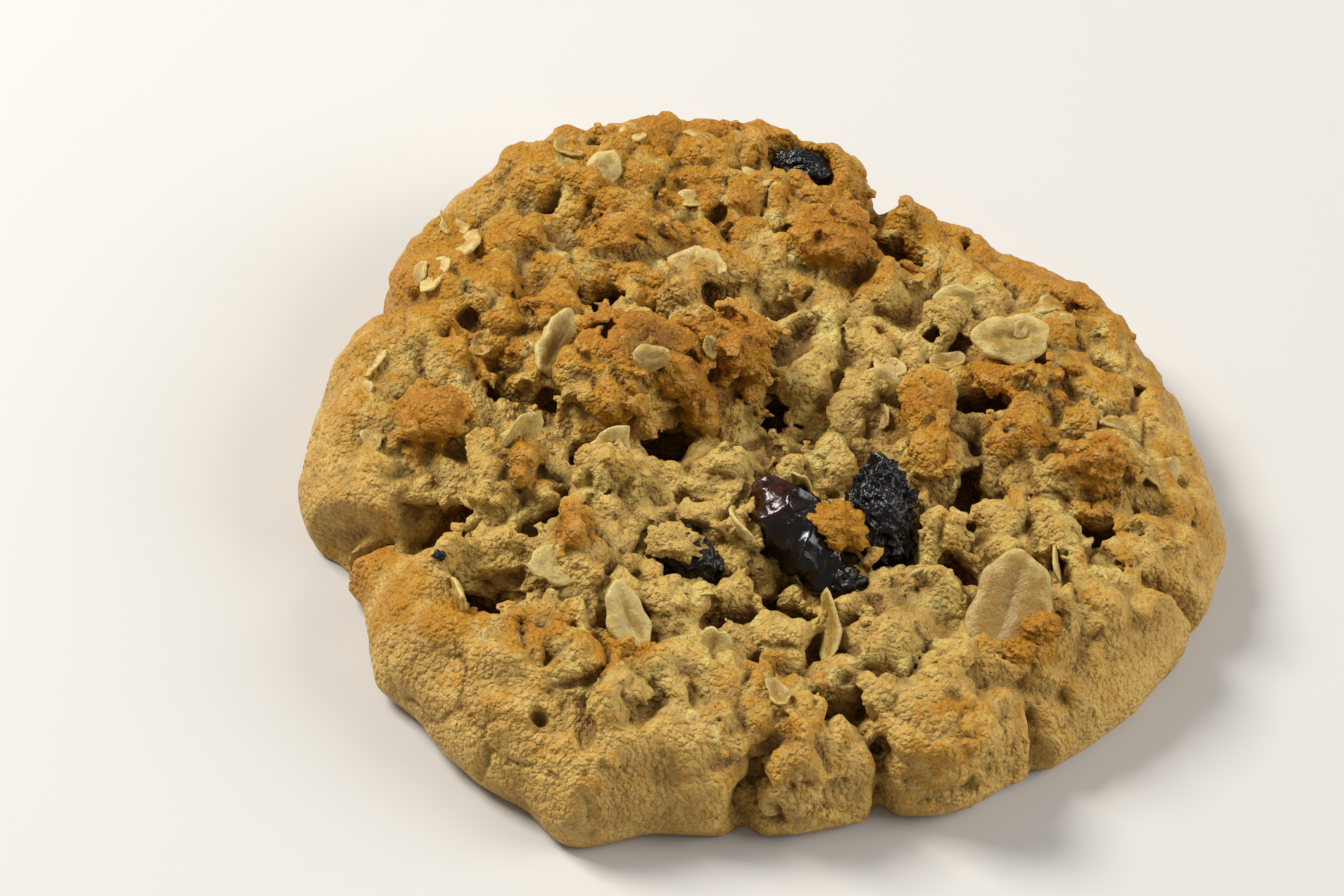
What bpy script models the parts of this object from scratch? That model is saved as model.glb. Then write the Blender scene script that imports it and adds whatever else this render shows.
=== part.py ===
"""An oatmeal raisin cookie: one rugged baked dough body, with the raisins and the large oat flakes set in it.

The tables and functions below work in millimetres. Every object is scaled to metres when it is made.
X points right, Y points back and Z points up; the cookie lies on its flat base at Z = 0.
"""

import math

import bmesh
import bpy
from mathutils import Euler, Vector, noise

MM = 0.001

# Driving dimensions.
RADIUS = 38.3
TOP_HEIGHT = 10.4
WIDEST_HEIGHT = 2.8
BASE_UNDERCUT = 1.5
FIT_GAP = 0.32
DOUGH_SUBDIVISIONS = 7
DOUGH_KEPT_SHARE = 0.052
RAISIN_KEPT_SHARE = 0.55

# Rim: its width is the run from the crest of the rim out to the widest point.
RIM_WIDTH = 7.4
RIM_WIDTH_SWING = 2.2
RIM_WIDEST_BEARING = -50.0
RIM_SQUARENESS = 1.0

# How the sphere that the dough is modelled from is shared out: top, rim and base.
TOP_SHARE = 0.56
RIM_SHARE = 0.28
UPPER_RIM_SHARE = 0.72

# Clods: the crumbly relief over all of the top, fine on the rim.
CLOD_SIZE = 5.6
CLOD_HEIGHT = 2.6
CRUMB_SIZE = 2.8
CRUMB_HEIGHT = 1.0
SWELL_SIZE = 13.0
SWELL_HEIGHT = 1.0
RIM_ROUGHNESS = 0.22

# (bearing, half width, rise): degrees counter-clockwise from +X, and millimetres.
OUTLINE_LOBES = [
    (-106, 6, 3.4),
    (-119, 9, 1.6),
    (-66, 26, -2.6),
    (-2, 16, 1.5),
    (64, 16, -2.4),
    (97, 16, 1.0),
    (128, 22, 2.2),
    (162, 6, -2.8),
    (-150, 6, -2.2),
    (-170, 8, 0.7),
]
CREST_LOBES = [
    (118, 42, 3.4),
    (58, 14, -1.6),
    (-2, 25, -0.8),
    (-128, 26, 0.7),
]

# (x, y, half length along x, half length along y, rise).
LUMPS = [
    (-11.6, 2.8, 7.6, 6.2, 6.2),
    (-4.4, 5.6, 5.0, 4.6, 5.4),
    (-12.0, -1.7, 4.2, 3.4, 2.4),
    (-5.2, 0.7, 2.4, 2.4, 2.4),
    (-25.9, 10.6, 5.2, 5.6, 2.0),
    (-28.0, -4.7, 4.8, 5.2, 2.4),
    (-22.0, -9.5, 4.8, 5.2, 2.6),
    (-12.5, -9.5, 3.8, 4.2, 2.6),
    (-14.5, -16.5, 3.6, 3.6, 2.2),
    (-3.0, -4.9, 6.2, 4.4, 2.0),
    (-5.0, -11.8, 4.6, 3.4, 1.4),
    (-4.0, -20.3, 5.6, 5.0, 1.2),
    (13.6, 1.3, 3.6, 6.8, 3.4),
    (15.2, -8.7, 3.2, 3.8, 1.8),
    (14.0, -16.3, 5.2, 4.2, 2.0),
    (21.0, 3.0, 3.8, 3.6, 2.2),
    (27.0, -0.2, 4.2, 2.8, 2.2),
    (20.4, 10.9, 4.8, 4.4, 2.4),
    (22.0, -5.3, 4.0, 3.6, 1.8),
    (8.2, 6.8, 3.8, 3.6, 1.8),
    (10.0, 11.7, 4.4, 4.2, 1.6),
    (3.2, 13.6, 3.8, 4.6, 1.8),
    (14.6, 15.3, 3.4, 3.8, 2.2),
    (-12.9, 21.1, 5.0, 4.6, 1.8),
    (-8.0, 15.5, 4.0, 3.8, 1.6),
    (-19.9, 24.9, 5.8, 5.2, 1.4),
    (4.0, 22.6, 4.2, 4.0, 2.4),
    (-18.9, 15.5, 3.4, 3.4, 1.6),
    (21.5, -19.2, 5.2, 4.8, 1.6),
    (17.1, -28.8, 6.4, 5.0, 2.0),
    (6.0, -32.7, 3.6, 3.6, 1.4),
    (-7.0, -28.4, 4.8, 3.6, 1.4),
    (-26.1, -25.5, 5.4, 3.4, 1.0),
]

# (x, y, half width, depth).
HOLLOWS = [
    (2.6, 4.5, 4.6, 5.0),
    (-7.6, -2.7, 3.0, 3.4),
    (-14.5, -4.6, 3.4, 2.8),
    (-20.1, -20.6, 5.0, 5.0),
    (-26.6, -14.2, 5.6, 4.6),
    (-23.0, 4.0, 3.6, 2.4),
    (-17.6, -1.7, 3.4, 2.4),
    (4.6, -16.0, 4.6, 3.4),
    (0.0, 16.7, 3.4, 2.6),
    (6.0, -3.1, 4.0, 1.8),
    (18.0, 8.7, 3.2, 2.2),
    (17.9, 18.6, 3.4, 2.4),
    (9.4, 26.1, 4.4, 2.8),
    (29.0, -4.1, 3.4, 2.0),
    (-16.0, 13.9, 3.0, 2.2),
    (18.5, -2.2, 2.8, 2.0),
    (6.0, 19.5, 3.4, 2.0),
    (-10.0, 11.6, 4.0, 2.4),
    (-20.4, 0.6, 3.2, 2.4),
    (3.0, -25.6, 3.6, 2.6),
]

# (x, y, x, y, half width, depth): straight splits from one point to the other.
SPLITS = [
    (1.6, -38.0, 4.0, -31.6, 1.4, 3.2),
    (14.4, -37.0, 13.2, -31.6, 1.3, 3.2),
    (13.2, -31.6, 8.6, -27.4, 1.2, 2.4),
    (27.6, -30.8, 25.1, -24.9, 0.9, 2.2),
    (-37.1, -12.7, -27.1, -16.5, 1.8, 3.6),
    (40.1, -8.8, 33.1, -10.0, 1.1, 3.0),
    (32.9, 7.1, 36.0, 2.7, 1.0, 1.8),
    (-11.1, -36.6, -11.6, -29.9, 0.9, 1.6),
    (8.4, 36.4, 7.0, 29.3, 2.2, 3.4),
    (17.1, -24.1, 27.1, -23.0, 1.1, 1.4),
]

# Base colours as linear values, with roughness.
DOUGH_FINISH = ((0.42, 0.23, 0.075), 0.75)
GLOSSY_RAISIN_FINISH = ((0.020, 0.006, 0.005), 0.15)
DRY_RAISIN_FINISH = ((0.007, 0.006, 0.006), 0.4)
FLAKE_FINISH = ((0.60, 0.44, 0.20), 0.5)


def wrapped(degrees):
    """The same bearing between -180 and 180."""
    return (degrees + 180.0) % 360.0 - 180.0


def lobe_rise(lobes, bearing):
    """The rise that round-topped lobes add at a bearing."""
    return sum(
        rise * math.exp(-((wrapped(bearing - centre) / half_width) ** 2))
        for centre, half_width, rise in lobes
    )


def bump(distance):
    """A round bump: 1 in the middle, 0 from a distance of 1 outwards."""
    return max(0.0, 1.0 - distance * distance) ** 2


def split_distance(x, y, split):
    """How far a point is from a split's line, as a share of the split's half width."""
    x0, y0, x1, y1, half_width, _ = split
    along_x = x1 - x0
    along_y = y1 - y0
    share = ((x - x0) * along_x + (y - y0) * along_y) / (along_x**2 + along_y**2)
    share = min(1.0, max(0.0, share))
    return math.hypot(x - x0 - share * along_x, y - y0 - share * along_y) / half_width


def placed_relief(x, y):
    """The lumps, hollows and splits that have a place of their own."""
    rise = 0.0
    for centre_x, centre_y, half_x, half_y, height in LUMPS:
        rise += height * bump(math.hypot((x - centre_x) / half_x, (y - centre_y) / half_y))
    for centre_x, centre_y, half_width, depth in HOLLOWS:
        rise -= depth * bump(math.hypot(x - centre_x, y - centre_y) / half_width)
    for split in SPLITS:
        rise -= split[5] * bump(split_distance(x, y, split))
    return rise


def clod(point, size):
    """Rounded clods with creases between them, from about -1 to 1."""
    distances, _ = noise.voronoi(point / size)
    return 2.0 * min(1.0, distances[1] - distances[0]) - 0.6


def crumb_relief(point):
    """The uneven crumb that covers the whole top."""
    swell = noise.noise(point / SWELL_SIZE)
    clods = clod(point + Vector((3.0, 7.0, 0.0)), CLOD_SIZE)
    crumbs = noise.noise(point / CRUMB_SIZE)
    return SWELL_HEIGHT * swell + CLOD_HEIGHT * 0.5 * clods + CRUMB_HEIGHT * crumbs


def section(share, bearing):
    """A point of the plain cookie's section: its radius, height, outward direction, and how much relief it takes."""
    edge = RADIUS + lobe_rise(OUTLINE_LOBES, bearing)
    crest = TOP_HEIGHT + lobe_rise(CREST_LOBES, bearing)
    width = RIM_WIDTH + RIM_WIDTH_SWING * math.cos(math.radians(bearing - RIM_WIDEST_BEARING))
    if share < TOP_SHARE:
        out = math.sqrt(share / TOP_SHARE)
        height = TOP_HEIGHT + (crest - TOP_HEIGHT) * out**2
        return out * (edge - width), height, 0.0, 1.0, 1.0
    if share < TOP_SHARE + RIM_SHARE:
        along = (share - TOP_SHARE) / RIM_SHARE
        if along < UPPER_RIM_SHARE:
            turn = along / UPPER_RIM_SHARE * math.pi / 2
            radius = edge - width + width * math.sin(turn) ** RIM_SQUARENESS
            height = WIDEST_HEIGHT + (crest - WIDEST_HEIGHT) * math.cos(turn) ** RIM_SQUARENESS
            return radius, height, math.sin(turn), math.cos(turn), 1.0
        turn = (along - UPPER_RIM_SHARE) / (1.0 - UPPER_RIM_SHARE) * math.pi / 2
        radius = edge - BASE_UNDERCUT + BASE_UNDERCUT * math.cos(turn)
        return radius, WIDEST_HEIGHT * (1.0 - math.sin(turn)), 1.0, 0.0, math.cos(turn)
    out = math.sqrt(max(0.0, (1.0 - share) / (1.0 - TOP_SHARE - RIM_SHARE)))
    return out * (edge - BASE_UNDERCUT), 0.0, 0.0, 0.0, 0.0


def dough_point(direction):
    """Where a point of the unit sphere lies on the dough's surface."""
    bearing = math.degrees(math.atan2(direction.y, direction.x))
    radius, height, out, up, relief_share = section((1.0 - direction.z) / 2.0, bearing)
    heading = Vector((math.cos(math.radians(bearing)), math.sin(math.radians(bearing)), 0.0))
    point = heading * radius + Vector((0.0, 0.0, height))
    roughness = RIM_ROUGHNESS + (1.0 - RIM_ROUGHNESS) * up**2
    relief = placed_relief(point.x, point.y) + roughness * crumb_relief(point)
    moved = point + (heading * out + Vector((0.0, 0.0, up))) * relief * relief_share
    moved.z = max(0.0, moved.z)
    return moved


def new_material(name, finish):
    """A plain material with the piece's colour and roughness."""
    colour, roughness = finish
    material = bpy.data.materials.new(name)
    material.use_nodes = True
    shader = material.node_tree.nodes["Principled BSDF"]
    shader.inputs["Base Color"].default_value = (*colour, 1.0)
    shader.inputs["Roughness"].default_value = roughness
    shader.inputs["Metallic"].default_value = 0.0
    return material


def shaped_sphere(name, subdivisions, shape, material, collection, anchor):
    """An object made from an icosphere whose points are moved by shape(direction), in millimetres."""
    sphere = bmesh.new()
    bmesh.ops.create_icosphere(sphere, subdivisions=subdivisions, radius=1.0)
    for vertex in sphere.verts:
        vertex.co = shape(vertex.co.normalized()) * MM
    mesh = bpy.data.meshes.new(name)
    sphere.to_mesh(mesh)
    sphere.free()
    mesh.shade_smooth()
    mesh.materials.append(material)
    made = bpy.data.objects.new(name, mesh)
    collection.objects.link(made)
    made.parent = anchor
    return made


def thin_out(piece, kept_share):
    """Leaves fewer triangles where the shape is flat."""
    thinning = piece.modifiers.new("thin out", "DECIMATE")
    thinning.ratio = kept_share


def place(piece, centre, turn):
    """Puts a piece at its centre, in millimetres, and turns it: first spun about Z, then tipped about Y and X."""
    piece.location = Vector(centre) * MM
    piece.rotation_mode = "ZYX"
    piece.rotation_euler = Euler([math.radians(angle) for angle in turn], "ZYX")


def raisin_shape(size, waist, wrinkle_depth, wrinkle_size, seed, gap=0.0):
    """A raisin's surface: an ellipsoid with a waist, wrinkled inwards. A gap makes its plain pocket."""
    half = Vector(size) / 2.0

    def shape(direction):
        plain = Vector([direction[axis] * half[axis] for axis in range(3)])
        pinch = 1.0 - waist * math.exp(-(((direction.x - 0.15) / 0.28) ** 2))
        plain.y *= pinch
        plain.z *= pinch
        if gap:
            return Vector([direction[axis] * (half[axis] + gap) for axis in range(3)])
        fold = 1.0 - abs(noise.noise(plain / wrinkle_size + Vector((seed, 0.0, 0.0))))
        return plain * (1.0 - wrinkle_depth * fold**3)

    return shape


def flake_shape(size, curl, gap=0.0):
    """A rolled oat flake: a thin oval plate, curled along its length, with a crease down the middle."""
    half = Vector(size) / 2.0 + Vector((gap, gap, gap))

    def shape(direction):
        flat = math.copysign(abs(direction.z) ** 0.6, direction.z)
        point = Vector((direction.x * half.x, direction.y * half.y, flat * half.z))
        point.z += curl * direction.x**2
        if direction.z > 0.0 and not gap:
            point.z -= 0.25 * math.exp(-((direction.y / 0.18) ** 2)) * (1.0 - direction.x**2)
        return point

    return shape


def cut_pocket(dough, cutter):
    """Cuts the pocket that a raisin or flake sits in."""
    cutter.hide_render = True
    cutter.display_type = "WIRE"
    boolean = dough.modifiers.new("pocket of " + cutter.name, "BOOLEAN")
    boolean.operation = "DIFFERENCE"
    boolean.solver = "EXACT"
    boolean.object = cutter


def add_raisin(name, centre, turn, size, waist, wrinkles, subdivisions, parts, pockets, anchor, material):
    """A raisin and the cutter of its pocket. wrinkles is (depth, size, seed)."""
    shape = raisin_shape(size, waist, *wrinkles)
    raisin = shaped_sphere(name, subdivisions, shape, material, parts, anchor)
    if subdivisions > 3:
        thin_out(raisin, RAISIN_KEPT_SHARE)
    pocket_shape = raisin_shape(size, waist, *wrinkles, gap=FIT_GAP)
    pocket = shaped_sphere(name + "_pocket", 3, pocket_shape, material, pockets, anchor)
    place(raisin, centre, turn)
    place(pocket, centre, turn)
    return pocket


def add_flake(name, centre, turn, size, curl, parts, pockets, anchor, material):
    """A large oat flake and the cutter of its pocket."""
    flake = shaped_sphere(name, 3, flake_shape(size, curl), material, parts, anchor)
    pocket_shape = flake_shape(size, curl, gap=FIT_GAP)
    pocket = shaped_sphere(name + "_pocket", 3, pocket_shape, material, pockets, anchor)
    place(flake, centre, turn)
    place(pocket, centre, turn)
    return pocket


def add_dough(collection, anchor):
    """The dough body, thinned out where it is flat."""
    material = new_material("baked_dough", DOUGH_FINISH)
    dough = shaped_sphere("cookie_dough", DOUGH_SUBDIVISIONS, dough_point, material, collection, anchor)
    thin_out(dough, DOUGH_KEPT_SHARE)
    return dough


def add_raisins(parts, pockets, anchor):
    """The four raisins that show."""
    glossy = new_material("glossy_raisin", GLOSSY_RAISIN_FINISH)
    dry = new_material("dry_raisin", DRY_RAISIN_FINISH)
    return [
        add_raisin(
            "raisin_glossy", (3.7, -10.9, 10.0), (10, 10, -50), (11.8, 5.8, 5.2),
            0.10, (0.10, 3.0, 2.0), 4, parts, pockets, anchor, glossy,
        ),
        add_raisin(
            "raisin_wrinkled", (10.4, -8.2, 10.4), (34, 0, -82), (10.6, 6.2, 5.4),
            0.0, (0.26, 1.8, 9.0), 4, parts, pockets, anchor, dry,
        ),
        add_raisin(
            "raisin_half_buried", (-5.0, -14.7, 9.7), (20, 0, -32), (7.0, 4.6, 4.0),
            0.0, (0.22, 1.6, 4.0), 3, parts, pockets, anchor, dry,
        ),
        add_raisin(
            "raisin_back_edge", (0.2, 32.5, 10.9), (-20, 0, -15), (6.0, 4.4, 3.6),
            0.0, (0.20, 1.6, 6.0), 3, parts, pockets, anchor, dry,
        ),
    ]


def add_flakes(parts, pockets, anchor):
    """The four oat flakes that are as large as a berry."""
    material = new_material("oat_flake", FLAKE_FINISH)
    return [
        add_flake(
            "oat_flake_front_right", (21.4, -17.4, 11.3), (30, -4, 78), (9.0, 7.0, 1.4),
            0.3, parts, pockets, anchor, material,
        ),
        add_flake(
            "oat_flake_right_back", (19.9, 12.7, 12.2), (22, 0, 15), (6.4, 5.0, 1.2),
            0.2, parts, pockets, anchor, material,
        ),
        add_flake(
            "oat_flake_curled", (-18.8, 5.8, 11.4), (20, 45, 70), (6.8, 3.6, 1.2),
            0.6, parts, pockets, anchor, material,
        ),
        add_flake(
            "oat_flake_front", (-9.2, -23.4, 10.7), (34, 24, -56), (5.8, 3.8, 1.2),
            0.3, parts, pockets, anchor, material,
        ),
    ]


def centre_on_base(anchor, parts):
    """Moves everything so that the origin is at the middle of the whole cookie's base."""
    bpy.context.view_layer.update()
    graph = bpy.context.evaluated_depsgraph_get()
    corners = []
    for piece in parts.objects:
        evaluated = piece.evaluated_get(graph)
        mesh = evaluated.to_mesh()
        corners += [evaluated.matrix_world @ vertex.co for vertex in mesh.vertices]
        evaluated.to_mesh_clear()
    lowest = [min(corner[axis] for corner in corners) for axis in range(3)]
    highest = [max(corner[axis] for corner in corners) for axis in range(3)]
    anchor.location = (
        -(lowest[0] + highest[0]) / 2.0,
        -(lowest[1] + highest[1]) / 2.0,
        -lowest[2],
    )


def main():
    for old in list(bpy.data.objects):
        bpy.data.objects.remove(old, do_unlink=True)
    parts = bpy.data.collections.new("oatmeal_raisin_cookie")
    pockets = bpy.data.collections.new("pocket_cutters")
    bpy.context.scene.collection.children.link(parts)
    bpy.context.scene.collection.children.link(pockets)
    anchor = bpy.data.objects.new("cookie_anchor", None)
    bpy.context.scene.collection.objects.link(anchor)
    dough = add_dough(parts, anchor)
    cutters = add_raisins(parts, pockets, anchor) + add_flakes(parts, pockets, anchor)
    for cutter in cutters:
        cut_pocket(dough, cutter)
    centre_on_base(anchor, parts)


main()
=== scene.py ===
"""The looks of the oatmeal raisin cookie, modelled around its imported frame.

Shapes are worked out in millimetres and turned into metres when a piece is made. Angles are in degrees.
Places given as (x, y) are measured from the middle of the round dough, which lies at MIDDLE in the frame.
"""

import math

import bmesh
import bpy
import numpy as np
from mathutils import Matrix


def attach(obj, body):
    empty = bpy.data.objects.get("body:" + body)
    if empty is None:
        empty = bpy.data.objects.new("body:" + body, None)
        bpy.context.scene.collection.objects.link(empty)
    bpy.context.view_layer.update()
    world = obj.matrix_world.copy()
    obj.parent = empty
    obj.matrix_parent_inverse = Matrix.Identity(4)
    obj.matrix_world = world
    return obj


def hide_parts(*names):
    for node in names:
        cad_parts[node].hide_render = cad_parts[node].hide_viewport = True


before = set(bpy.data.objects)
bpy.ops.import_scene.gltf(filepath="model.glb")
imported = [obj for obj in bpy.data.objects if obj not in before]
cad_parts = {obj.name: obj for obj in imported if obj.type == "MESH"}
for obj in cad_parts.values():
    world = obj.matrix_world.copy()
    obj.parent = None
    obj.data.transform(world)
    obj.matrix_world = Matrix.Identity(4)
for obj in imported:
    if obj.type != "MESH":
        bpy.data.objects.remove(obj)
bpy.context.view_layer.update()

import openvdb
from mathutils import Matrix, Vector, noise
from mathutils.bvhtree import BVHTree
from mathutils.kdtree import KDTree

MM = 0.001
MIDDLE = np.array((-0.75, 0.26))

# The grid that the dough is shaped on, and how far it reaches past the frame's dough.
STEP = 0.27
MARGIN = 3.0
FAR = 3.2
DOUGH_TRIANGLES = 190000
INSERT_GAP = 0.05

# The angular clods: how many flat faces cut each one, and how sharp its edges are.
CHUNK_FACES = 9
CHUNK_SHARPNESS = 9.0

# Brings the spline noise up to about -1 to 1.
NOISE_CONTRAST = 2.4

# What stands above this height is pressed together, by at most the softness.
CREST_START = 15.5
CREST_SOFTNESS = 2.6

# (bearing, half width, roughness): where the rim is as crumbly as the top.
RIM_CRUMB = [
    (95, 60, 0.55),
    (-80, 14, 1.0),
    (-108, 10, 0.30),
    (-58, 12, 0.70),
    (-38, 16, 0.35),
    (-12, 18, 0.25),
    (35, 30, 0.35),
    (-160, 8, 0.2),
]
RIM_SMOOTH = 0.10

# (bearing, half width, extra millimetres): where the smooth crust of the rim reaches further in.
RIM_PLATES = [
    (172, 16, 4.0),
    (-135, 26, 2.0),
    (-48, 16, 2.5),
    (-8, 14, 1.0),
]

# How much calmer the back of the top is, and the stretch of y over which that comes in.
BACK_CALM = 0.15
BACK_STRETCH = (6.0, 18.0)

# (x, y, height above the local top, radii): the clumps that stand out.
CLUMPS = [
    (-11.6, 3.2, -0.7, (6.0, 4.6, 3.8)),
    (-9.0, 2.4, -0.2, (4.4, 3.6, 2.8)),
    (-15.6, 2.1, 0.4, (3.4, 3.6, 2.8)),
    (-13.0, 5.6, 0.3, (2.4, 1.8, 1.8)),
    (-9.4, 1.0, 0.5, (1.8, 1.5, 1.6)),
    (-2.2, 4.8, 0.6, (1.6, 1.8, 1.5)),
    (-12.2, -0.8, 0.6, (3.8, 2.6, 2.2)),
    (-4.0, 6.0, 0.4, (4.0, 3.4, 2.8)),
    (-5.0, 0.2, 0.7, (1.5, 1.7, 2.2)),
    (13.4, 3.6, 0.6, (2.6, 3.0, 2.2)),
    (13.6, -0.8, 0.4, (2.4, 3.4, 2.0)),
    (-22.0, -8.0, 0.5, (2.6, 3.4, 2.2)),
    (-20.2, -8.7, 0.6, (1.8, 3.2, 2.4)),
    (-12.4, -8.5, 0.6, (2.6, 2.4, 2.4)),
    (-14.4, -16.2, 0.6, (1.4, 2.6, 2.2)),
    (20.6, 10.6, 0.2, (3.4, 3.0, 2.0)),
    (27.6, -0.4, 0.4, (3.2, 1.5, 1.6)),
    (21.0, 3.4, 0.4, (2.6, 2.4, 2.0)),
    (3.8, 22.8, 0.4, (3.2, 3.0, 2.2)),
    (17.3, -28.8, -0.7, (4.6, 3.4, 2.0)),
    (-27.6, -4.2, 0.2, (3.2, 3.6, 2.0)),
    (2.6, 7.6, 0.1, (3.0, 2.6, 2.6)),
]

# (x, y, depth of the middle below the surface, radii, heading): the dark hollows between clumps.
CAVITIES = [
    (-8.2, -2.0, 1.8, (4.4, 1.8, 3.4), 12),
    (-12.6, -4.4, 0.7, (3.4, 1.4, 2.4), -10),
    (2.2, 6.0, 0.1, (2.8, 1.8, 1.2), 30),
    (1.2, 11.0, 0.6, (2.6, 1.2, 2.0), 60),
    (-24.6, -12.6, 0.8, (4.6, 2.0, 2.8), 35),
    (-20.4, -21.6, 0.8, (3.6, 2.2, 2.8), -30),
    (-17.6, -14.0, 0.6, (2.6, 1.2, 2.2), 60),
    (-23.0, 2.6, 0.8, (2.4, 1.0, 1.8), -20),
    (17.6, -3.0, 0.7, (1.4, 3.4, 2.4), 0),
    (22.8, -10.6, 0.7, (3.2, 1.2, 2.2), 20),
    (17.4, -12.4, 0.6, (2.4, 1.2, 2.0), -40),
    (28.4, -4.6, 0.6, (3.0, 1.2, 2.0), 10),
    (17.8, 8.6, 0.6, (2.6, 1.2, 2.0), 40),
    (9.4, 26.4, 0.8, (3.8, 1.8, 2.6), -20),
    (4.4, -17.6, 0.8, (3.2, 1.6, 2.6), -20),
    (-1.0, -20.4, 0.8, (2.6, 1.0, 2.0), 30),
    (8.6, -27.6, 0.6, (3.4, 1.0, 2.0), 20),
    (-14.6, 14.0, 0.6, (3.0, 1.2, 2.0), 15),
    (-9.6, 10.4, 0.5, (4.4, 1.3, 2.2), 8),
    (-18.6, 1.0, 0.3, (1.1, 2.4, 1.4), 10),
    (0.8, 4.2, 0.4, (1.2, 2.4, 1.6), 0),
    (-4.6, 14.6, 0.5, (2.4, 1.1, 2.0), -25),
    (-15.0, -33.2, 0.2, (0.9, 0.6, 1.2), 0),
    (-32.2, -14.6, 0.6, (3.2, 1.0, 3.4), 25),
    (-7.4, 4.4, -0.7, (0.8, 2.6, 1.6), 10),
    (-10.8, 3.6, -1.1, (1.6, 0.8, 1.0), 15),
    (-4.2, 7.2, -1.1, (1.4, 1.0, 1.0), -20),
    (-14.0, 4.2, -0.9, (1.0, 1.6, 0.9), 30),
]

# (x, y, sink, radii, seed, brown): crumbs that lie loose on the top.
LOOSE_CRUMBS = [
    (6.7, -11.2, 0.3, (2.5, 2.1, 1.8), 1, 0.75),
    (8.6, -12.6, 0.9, (1.4, 1.1, 1.4), 11, 0.6),
    (-6.1, -14.8, 0.2, (2.2, 1.7, 1.1), 2, 0.0),
    (-4.4, -17.8, 0.5, (1.9, 1.3, 1.0), 10, 0.05),
    (-1.6, -14.0, 0.5, (1.6, 1.7, 1.0), 9, 0.2),
    (23.8, -18.6, 0.6, (2.1, 1.5, 0.9), 3, 0.8),
    (22.4, -20.6, 0.6, (1.9, 1.2, 0.9), 6, 0.7),
    (19.8, -20.9, 0.5, (1.6, 1.1, 0.9), 7, 0.5),
    (3.9, -5.7, 0.4, (2.4, 0.8, 0.8), 8, 0.35),
]

# (x, y, sink, radii, seed, brown): bits of raisin that lie loose on the top.
RAISIN_BITS = [
    (8.1, -14.9, 0.1, (1.5, 1.2, 1.3), 4, 0.0),
    (-24.9, -19.8, 0.0, (0.5, 0.4, 0.4), 5, 0.0),
]

# (x, y, reach, strength): places that browned in the oven, besides the crest of the rim.
BROWNED = [
    (-12.0, 27.0, 15.5, 0.85),
    (-27.0, 13.0, 13.0, 0.85),
    (6.0, 29.0, 13.0, 0.9),
    (25.0, 15.0, 10.0, 0.5),
    (-11.4, 4.6, 7.4, 0.85),
    (-4.0, 6.6, 5.4, 0.9),
    (-5.2, 0.9, 3.0, 1.0),
    (-12.5, -2.2, 3.4, 0.5),
    (-31.1, -16.9, 3.2, 0.9),
    (-28.0, -22.2, 3.2, 0.8),
    (-22.6, -25.0, 3.4, 0.9),
    (-16.0, -25.8, 3.8, 0.9),
    (-8.8, -26.6, 3.8, 0.9),
    (-28.0, -4.6, 5.0, 0.8),
    (-25.9, 10.6, 6.0, 0.7),
    (-20.0, -9.8, 3.4, 0.5),
    (-14.4, -16.5, 2.8, 0.8),
    (13.4, 3.0, 4.4, 0.9),
    (14.0, -2.7, 3.0, 0.4),
    (21.0, 3.0, 4.4, 0.7),
    (27.0, -0.2, 3.8, 0.9),
    (22.0, -4.6, 3.6, 0.4),
    (20.4, 11.0, 5.0, 0.9),
    (24.9, 12.5, 8.0, 0.6),
    (4.0, 22.8, 4.6, 0.9),
    (23.7, -19.8, 3.0, 0.9),
    (16.8, -29.4, 4.4, 0.42),
    (3.0, -27.9, 5.0, 0.45),
    (28.0, -7.4, 5.0, 0.35),
    (-18.9, 16.2, 3.0, 0.6),
]

# (bearing, half width, strength): how far the crest of the rim browned.
BROWNED_CREST = [
    (105, 48, 1.0),
    (45, 30, 0.9),
    (5, 24, 0.45),
    (-40, 24, 0.30),
    (-80, 16, 0.35),
    (-125, 30, 0.30),
    (178, 22, 0.50),
]

# (x, y, height above the surface, length, width, tilt, heading, spin, tone): oat flakes set into the top.
FLAKES = [
    (-10.2, 0.4, 0.7, 3.4, 2.2, 44, -80, 20, 0.2),
    (-22.8, -22.6, 0.5, 5.6, 2.6, 84, 25, 75, 0.9),
    (-15.4, -19.2, 0.0, 4.6, 3.4, 30, -95, 10, 0.8),
    (7.2, -20.6, 0.3, 5.6, 3.2, 68, 200, 80, 0.3),
    (-20.0, -7.4, 1.0, 5.4, 2.6, 76, -60, 80, 0.8),
    (9.0, 7.0, 0.0, 3.6, 3.0, 46, -90, 40, 0.6),
    (25.2, -10.0, 0.2, 5.0, 2.6, 76, 10, 85, 0.6),
    (3.6, -7.4, 0.8, 5.2, 2.2, 74, 50, 62, 0.5),
    (-1.2, -12.0, 0.2, 4.2, 2.4, 64, 30, 120, 0.6),
    (-8.2, 18.2, 0.0, 4.0, 3.0, 36, -90, 20, 0.8),
    (-28.4, 16.0, 0.1, 4.6, 3.4, 36, 160, 30, 0.85),
    (-29.6, 11.8, 0.1, 4.4, 2.6, 40, 170, 80, 0.95),
    (-17.0, 25.6, 0.1, 4.6, 3.0, 36, -80, 60, 0.7),
    (14.8, 16.4, 0.2, 3.8, 2.8, 56, -80, 30, 0.8),
    (-5.4, 3.4, 0.5, 2.0, 1.3, 50, -60, 130, 0.6),
    (-12.4, -6.6, 0.6, 3.8, 2.8, 60, -70, 30, 0.7),
    (-2.0, -24.6, 0.0, 4.0, 2.6, 54, -100, 70, 0.7),
    (-33.6, 3.0, -0.2, 4.6, 2.4, 40, 178, 90, 0.75),
    (33.6, 2.0, -0.2, 4.6, 3.4, 34, -10, 70, 0.35),
]
SCATTERED_FLAKES = 90

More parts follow.
